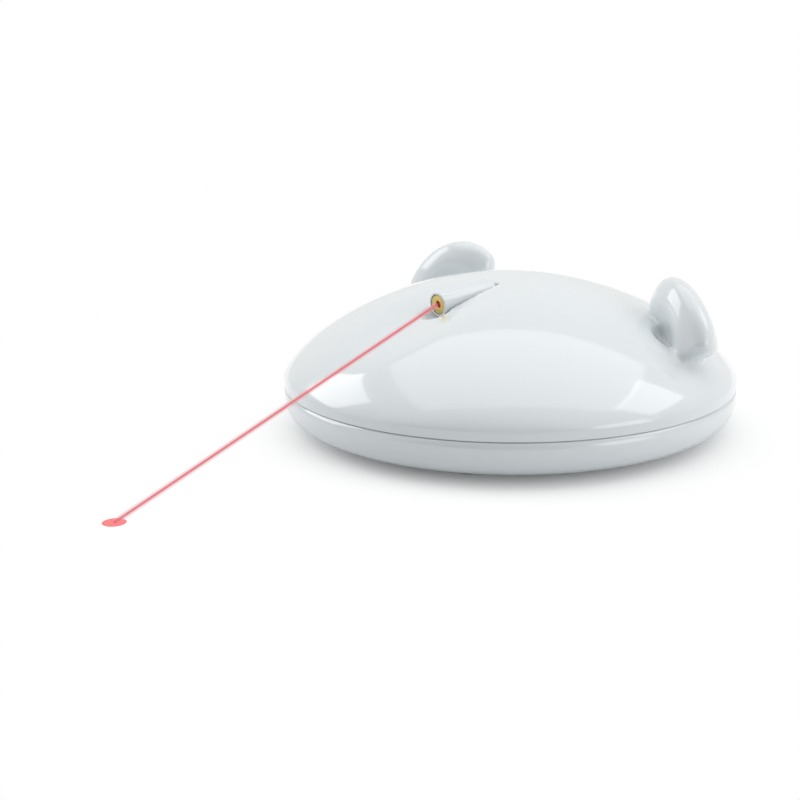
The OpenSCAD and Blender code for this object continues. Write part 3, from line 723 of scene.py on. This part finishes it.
@dataclass
class LaserBarrel:
    """The nodding barrel: white sleeve, brass module with its turned face, and the dark red window.

    Profiles are drawn as radius and distance behind the front. None goes nearer to the axis than axis_r.
    """

    radius: float = 4.2
    length: float = 24.0
    front: tuple[float, float, float] = (0.0, -32.8, 46.9)
    pitch: float = 5.0
    module_r: float = 3.25
    module_back: float = 12.0
    face_at: float = 0.2
    mouth: tuple[float, float] = (1.2, 2.2)
    bore_gap: float = 0.02
    bore_deep: float = 18.4
    rim_gap: float = 0.25
    rim_deep: float = 0.9
    pivot: tuple[float, float] = (-11.4, 47.0)
    lug_r: tuple[float, float] = (1.05, 2.1)
    lug_x: tuple[float, float] = (-6.2, 4.3)
    window_r: float = 1.15
    axis_r: float = 0.02
    turns: int = 96
    small_turns: int = 48
    sharp_deg: float = 28.0

    def place(self, points: Array) -> Array:
        """Moves points drawn with the front at z = 0 and +Z running back to the barrel's place and pitch."""
        turn = np.array(Matrix.Rotation(math.radians(-90 + self.pitch), 3, "X"))
        return points @ turn.T + np.array(self.front)

    def sleeve(self) -> tuple[Array, Array]:
        """The sleeve, a turned tube with a rounded front lip and a closed back, and the lug at its pivot.

        Returns:
            Both forms' points, in place, and their faces.
        """
        bore, rim = self.module_r + self.bore_gap, self.module_r + self.bore_gap + self.rim_gap
        tube = rounded([
            (self.axis_r, self.bore_deep, 0.01), (bore, self.bore_deep, 0.1), (bore, self.rim_deep, 0.05),
            (rim, self.rim_deep, 0.05), (rim, 0.0, 0.1), (self.radius, 0.0, 0.35),
            (self.radius, self.length, 0.9), (self.axis_r, self.length, 0.01)])
        points, faces = lathe(tube, self.turns)
        (hole, outer), (left, right) = self.lug_r, self.lug_x
        ring = rounded([(hole, left, 0.1), (hole, right, 0.1), (outer, right, 0.2), (outer, left, 0.2)])
        lug, lug_faces = lathe(ring, self.small_turns)
        across = np.array(Matrix.Rotation(math.radians(90), 3, "Y"))
        lug = lug @ across.T + np.array([0.0, *self.pivot])
        return np.concatenate([self.place(points), lug]), np.concatenate([faces, lug_faces + len(points)])

    def module(self) -> tuple[Array, Array]:
        """The brass module, turned: a flat face with two shallow grooves and a chamfered mouth.

        Returns:
            Its points, in place, and its faces.
        """
        flat, (mouth_r, mouth_deep) = self.face_at, self.mouth
        face = [(self.module_r, 0.32), (self.module_r - 0.12, flat), (2.7, flat), (2.64, 0.27), (2.5, 0.27),
                (2.44, flat), (1.45, flat), (1.3, 0.42), (mouth_r, 0.5), (mouth_r, mouth_deep)]
        back = self.module_back
        body = [(self.axis_r, mouth_deep), (self.axis_r, back), (self.module_r, back)]
        points, faces = lathe(np.array(face + body), self.turns)
        return self.place(points), faces

    def window(self) -> tuple[Array, Array]:
        """The window, turned: a low dome in the module's mouth.

        Returns:
            Its points, in place, and its faces.
        """
        profile = rounded([(self.axis_r, 0.98, 0.01), (0.7, 1.05, 0.3), (self.window_r, 1.25, 0.1),
                           (self.window_r, 2.0, 0.1), (self.axis_r, 2.0, 0.01)])
        points, faces = lathe(profile, self.small_turns)
        return self.place(points), faces

    def build(self, shelf: MaterialShelf) -> None:
        """Makes the three turned pieces.

        Args:
            shelf: where the finishes come from.
        """
        for name, form, finish, node, slot in (
            ("barrel_sleeve", self.sleeve(), WHITE_SHELL, "laser_barrel", "shell_white"),
            ("brass_module", self.module(), BRASS, "laser_module", "brass"),
            ("laser_window", self.window(), APERTURE, "laser_lens", "lens_red"),
        ):
            piece = make_object(name, *form, shelf.get(finish), sharp_deg=self.sharp_deg)
            weld(piece.data, 1e-6, outwards=True)
            shade_smooth(piece.data, self.sharp_deg)
            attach(piece, "barrel")
            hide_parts(node)
            LOG.info("%s: %d faces", name, len(form[1]))


# ---------------------------------------------------------------- carried-over pieces


@dataclass
class SmoothedCopy:
    """A carried-over moulding whose curved bands are shaded as one smooth surface."""

    node: str
    body: str
    slot: str
    finish: Finish
    sharp_deg: float = 30.0

    def build(self, frame: dict, shelf: MaterialShelf) -> None:
        """Copies the node's mesh, merges its doubled points and keeps only its real edges crisp.

        Args:
            shelf: where the finish comes from.
        """
        name = self.node + "_moulding"
        mesh = frame["nodes"][self.node].data.copy()
        mesh.name = name
        weld(mesh, 2e-6, outwards=False)
        mesh.materials.clear()
        mesh.materials.append(shelf.get(self.finish))
        mesh.polygons.foreach_set("material_index", np.zeros(len(mesh.polygons), np.int32))
        shade_smooth(mesh, self.sharp_deg)
        piece = link_object(name, mesh)
        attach(piece, self.body)
        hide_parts(self.node)
        LOG.info("%s: copied with %d faces", piece.name, len(mesh.polygons))


def dress_carried_over(frame: dict, shelf: MaterialShelf) -> None:
    """Gives each CAD node that NODE_FINISH names its finish.

    Args:
        shelf: where the materials come from.
    """
    for node, finish in NODE_FINISH.items():
        piece = frame["nodes"][node]
        piece.data.materials.clear()
        piece.data.materials.append(shelf.get(finish))
        LOG.info("%s: dressed as %s", node, finish.name)


# ---------------------------------------------------------------- studio, camera and beam


@dataclass
class Camera:
    """The photograph's camera, solved from the case's seam circle, outline and ears."""

    azimuth: float = 46.72
    elevation: float = 13.56
    distance: float = 490.6
    aim_height: float = 25.0
    pan: float = -4.49
    tilt: float = -2.02
    roll: float = 0.35
    focal: float = 61.5
    sensor: float = 36.0
    clip: tuple[float, float] = (0.01, 30.0)

    def build(self) -> None:
        """Makes the scene's camera: aimed at the case, then panned, tilted and rolled."""
        a, e = math.radians(self.azimuth), math.radians(self.elevation)
        back = np.array([math.sin(a) * math.cos(e), -math.cos(a) * math.cos(e), math.sin(e)])
        place = np.array([0.0, 0.0, self.aim_height]) + self.distance * back
        right, forward = np.array([math.cos(a), math.sin(a), 0.0]), -back
        up = np.cross(back, right)
        pan, tilt, roll = (math.radians(v) for v in (self.pan, self.tilt, self.roll))
        forward, right = turned(forward, right, pan)
        forward, up = turned(forward, up, tilt)
        right, up = turned(right, up, roll)
        data = bpy.data.cameras.new("camera")
        data.lens, data.sensor_width, (data.clip_start, data.clip_end) = self.focal, self.sensor, self.clip
        camera = link_object("camera", data)
        stand(camera, right, up, -forward, place * MM)
        bpy.context.scene.camera = camera


@dataclass(frozen=True)
class SoftBox:
    """One soft light: where it hangs, what it looks at, its size and its power."""

    name: str
    at: tuple[float, float, float]
    size: tuple[float, float]
    watts: float
    aim: tuple[float, float, float] = (0.0, 0.0, 0.02)

    def build(self) -> None:
        """Makes the area light, turned to its aim."""
        data = bpy.data.lights.new(self.name, "AREA")
        data.shape, data.size, data.size_y, data.energy = "RECTANGLE", *self.size, self.watts
        away = np.array(self.at) - np.array(self.aim)
        back = away / np.linalg.norm(away)
        side = np.cross([0.0, 0.0, 1.0], back)
        side = np.array([1.0, 0.0, 0.0]) if np.linalg.norm(side) < 1e-3 else side / np.linalg.norm(side)
        stand(link_object(self.name, data), side, np.cross(back, side), back, np.array(self.at))


@dataclass
class Studio:
    """White floor and surroundings with soft light.

    The floor has one colour for the camera and a darker one for the light that it throws back. For the
    camera it also glows a little, by lift, and for the camera and for gloss it turns plain white between the
    two distances in fade. For all but the camera the world is dimmed around the direction dim_towards.
    """

    floor_half: float = 60.0
    floor_colour: Colour = (0.9, 0.91, 0.91)
    bounce_colour: Colour = (0.7, 0.72, 0.73)
    lift: float = 0.1
    fade: tuple[float, float] = (0.058, 0.108)
    ambient: float = 0.8
    dim_towards: tuple[float, float, float] = (0.62, -0.76, 0.2)
    dim_from: tuple[float, float] = (0.5, 0.95)
    dim_to: float = 0.04
    boxes: tuple[SoftBox, ...] = (
        SoftBox("overhead_box", (-0.02, 0.13, 0.95), (1.38, 0.88), 2.95, aim=(-0.055, 0.16, 0.02)),
        SoftBox("left_box", (-0.73, -0.42, 0.5), (0.5, 0.5), 1.7),
        SoftBox("right_box", (0.52, 0.60, 0.72), (0.5, 0.4), 1.0),
        SoftBox("side_box", (0.95, 0.22, 0.25), (0.5, 0.5), 1.2),
    )

    def build(self) -> None:
        """Makes the floor, the surroundings and the lights."""
        self._floor()
        self._surroundings()
        for box in self.boxes:
            box.build()

    def _floor(self) -> None:
        """A wide pale floor, lifted to white for the camera and for gloss, that keeps the shadow."""
        h = self.floor_half
        mesh = bpy.data.meshes.new("floor")
        mesh.from_pydata([(-h, -h, 0), (h, -h, 0), (h, h, 0), (-h, h, 0)], [], [(0, 1, 2, 3)])
        floor = link_object("floor", mesh)
        material = bpy.data.materials.new("floor_paper")
        material.use_nodes = True
        nodes, links = material.node_tree.nodes, material.node_tree.links
        nodes.clear()
        paper = nodes.new("ShaderNodeBsdfDiffuse")
        shade = nodes.new("ShaderNodeMix")
        shade.data_type = "RGBA"
        shade.inputs[6].default_value = (*self.bounce_colour, 1.0)
        shade.inputs[7].default_value = (*self.floor_colour, 1.0)
        lift, plain = nodes.new("ShaderNodeEmission"), nodes.new("ShaderNodeEmission")
        path = nodes.new("ShaderNodeLightPath")
        strength = nodes.new("ShaderNodeMath")
        strength.operation = "MULTIPLY"
        strength.inputs[1].default_value = self.lift
        both = nodes.new("ShaderNodeAddShader")
        place = nodes.new("ShaderNodeTexCoord")
        reach = nodes.new("ShaderNodeVectorMath")
        reach.operation = "LENGTH"
        fade = nodes.new("ShaderNodeMapRange")
        fade.interpolation_type = "SMOOTHSTEP"
        fade.inputs["From Min"].default_value, fade.inputs["From Max"].default_value = self.fade
        seen = nodes.new("ShaderNodeMath")
        seen.operation = "MAXIMUM"
        share = nodes.new("ShaderNodeMath")
        share.operation = "MULTIPLY"
        mix = nodes.new("ShaderNodeMixShader")
        out = nodes.new("ShaderNodeOutputMaterial")
        links.new(path.outputs["Is Camera Ray"], shade.inputs["Factor"])
        links.new(shade.outputs[2], paper.inputs["Color"])
        links.new(path.outputs["Is Camera Ray"], strength.inputs[0])
        links.new(strength.outputs[0], lift.inputs["Strength"])
        links.new(paper.outputs[0], both.inputs[0])
        links.new(lift.outputs[0], both.inputs[1])
        links.new(place.outputs["Object"], reach.inputs[0])
        links.new(reach.outputs["Value"], fade.inputs["Value"])
        links.new(path.outputs["Is Camera Ray"], seen.inputs[0])
        links.new(path.outputs["Is Glossy Ray"], seen.inputs[1])
        links.new(fade.outputs["Result"], share.inputs[0])
        links.new(seen.outputs[0], share.inputs[1])
        links.new(share.outputs[0], mix.inputs["Fac"])
        links.new(both.outputs[0], mix.inputs[1])
        links.new(plain.outputs[0], mix.inputs[2])
        links.new(mix.outputs[0], out.inputs["Surface"])
        mesh.materials.append(material)

    def _surroundings(self) -> None:
        """Surroundings: plain white for the camera, a soft grey for light and gloss."""
        world = bpy.data.worlds.new("studio")
        bpy.context.scene.world = world
        world.use_nodes = True
        nodes, links = world.node_tree.nodes, world.node_tree.links
        nodes.clear()
        path = nodes.new("ShaderNodeLightPath")
        place = nodes.new("ShaderNodeTexCoord")
        facing = nodes.new("ShaderNodeVectorMath")
        facing.operation = "DOT_PRODUCT"
        facing.inputs[1].default_value = self.dim_towards
        dim = nodes.new("ShaderNodeMapRange")
        dim.interpolation_type = "SMOOTHSTEP"
        dim.inputs["From Min"].default_value, dim.inputs["From Max"].default_value = self.dim_from
        dim.inputs["To Min"].default_value, dim.inputs["To Max"].default_value = self.ambient, self.dim_to
        strength = nodes.new("ShaderNodeMix")
        strength.inputs["B"].default_value = 1.0
        back = nodes.new("ShaderNodeBackground")
        back.inputs["Color"].default_value = (1.0, 1.0, 1.0, 1.0)
        out = nodes.new("ShaderNodeOutputWorld")
        links.new(place.outputs["Generated"], facing.inputs[0])
        links.new(facing.outputs["Value"], dim.inputs["Value"])
        links.new(dim.outputs["Result"], strength.inputs["A"])
        links.new(path.outputs["Is Camera Ray"], strength.inputs["Factor"])
        links.new(strength.outputs["Result"], back.inputs["Strength"])
        links.new(back.outputs[0], out.inputs["Surface"])


@dataclass
class Beam:
    """The laser's light, which is no part of the object: a thin ray to the floor and the dot where it lands.

    Each glow has its own colour and its cover, the share of what is behind it that it hides.
    """

    start: tuple[float, float, float] = (0.0, -33.2, 46.9)
    floor_at: tuple[float, float, float] = (3.1, -159.0, 0.3)
    core_r: float = 0.4
    core_glow: tuple[Colour, float] = ((0.72, 0.10, 0.13), 0.62)
    halo_r: float = 0.95
    halo_glow: tuple[Colour, float] = ((0.85, 0.40, 0.43), 0.26)
    dot_r: float = 3.6
    dot_rise: float = 0.05
    dot_glow: tuple[Colour, float] = ((0.95, 0.02, 0.03), 0.75)

    def build(self, frame: dict) -> None:
        """Makes the ray, an open tube about the line between its ends, and the dot, a low turned cone.
        """
        start, end = np.array(self.start), np.array(self.floor_at)
        length = float(np.linalg.norm(end - start))
        front = (end - start) / length
        side = np.cross([0.0, 0.0, 1.0], front)
        side /= np.linalg.norm(side)
        axes = np.stack([side, np.cross(front, side), front])
        for name, radius, glow in (
            ("beam_core", self.core_r, self.core_glow),
            ("beam_halo", self.halo_r, self.halo_glow),
        ):
            points, faces = lathe(np.array([[radius, 0.0], [radius, length]]), 24, close=False)
            self._carry(make_object(name, points @ axes + start, faces, self._light(name, *glow)), frame)
        cone = np.array([[0.02, self.dot_rise], [self.dot_r / 2, self.dot_rise], [self.dot_r, 0.0]])
        points, faces = lathe(cone, 32, close=False)
        light = self._light("beam_dot", *self.dot_glow)
        self._carry(make_object("beam_dot", points + end, faces, light), frame)

    def _carry(self, piece: bpy.types.Object, frame: dict) -> None:
        """Parents a piece of light to the barrel and hides it from shadows, gloss and diffuse light."""
        carrier = frame["bodies"]["barrel"]
        bpy.context.view_layer.update()
        piece.parent = carrier
        piece.matrix_parent_inverse = carrier.matrix_world.inverted()
        piece.visible_shadow = piece.visible_glossy = piece.visible_diffuse = False

    @staticmethod
    def _light(name: str, colour: Colour, cover: float) -> bpy.types.Material:
        """A plain glow that hides a share of what is behind it.

        Args:
            name: the material's name.
            colour: the glow's colour.
            cover: that share.
        Returns:
            The material.
        """
        material = bpy.data.materials.new(name)
        material.use_nodes = True
        nodes, links = material.node_tree.nodes, material.node_tree.links
        nodes.clear()
        glow = nodes.new("ShaderNodeEmission")
        glow.inputs["Color"].default_value = (*colour, 1.0)
        clear = nodes.new("ShaderNodeBsdfTransparent")
        mix = nodes.new("ShaderNodeMixShader")
        mix.inputs["Fac"].default_value = cover
        out = nodes.new("ShaderNodeOutputMaterial")
        links.new(clear.outputs[0], mix.inputs[1])
        links.new(glow.outputs[0], mix.inputs[2])
        links.new(mix.outputs[0], out.inputs["Surface"])
        return material


# ---------------------------------------------------------------- putting it together


def corners(box: tuple) -> list[list[float]]:
    """A box's two corners as plain lists of numbers."""
    return [[float(v) for v in corner] for corner in box]


def main(frame: dict) -> None:
    logging.basicConfig(level=logging.INFO, format="%(name)s %(message)s")
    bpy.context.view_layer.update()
    shelf = MaterialShelf()
    dress_carried_over(frame, shelf)
    TurningTop().build(shelf.get(WHITE_SHELL))
    LaserBarrel().build(shelf)
    for copy in (
        SmoothedCopy("lower_shell", "base", "shell_white", WHITE_SHELL),
        SmoothedCopy("battery_door", "door", "shell_white", WHITE_SHELL),
        SmoothedCopy("power_button", "button", "button_plastic", BUTTON_GREY),
        SmoothedCopy("rubber_feet", "base", "rubber", BLACK_RUBBER),
    ):
        copy.build(frame, shelf)
    Studio().build()
    Beam().build(frame)
    Camera().build()
    bpy.context.scene.view_settings.view_transform = "Standard"


if __name__ == "__main__":
    main(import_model())
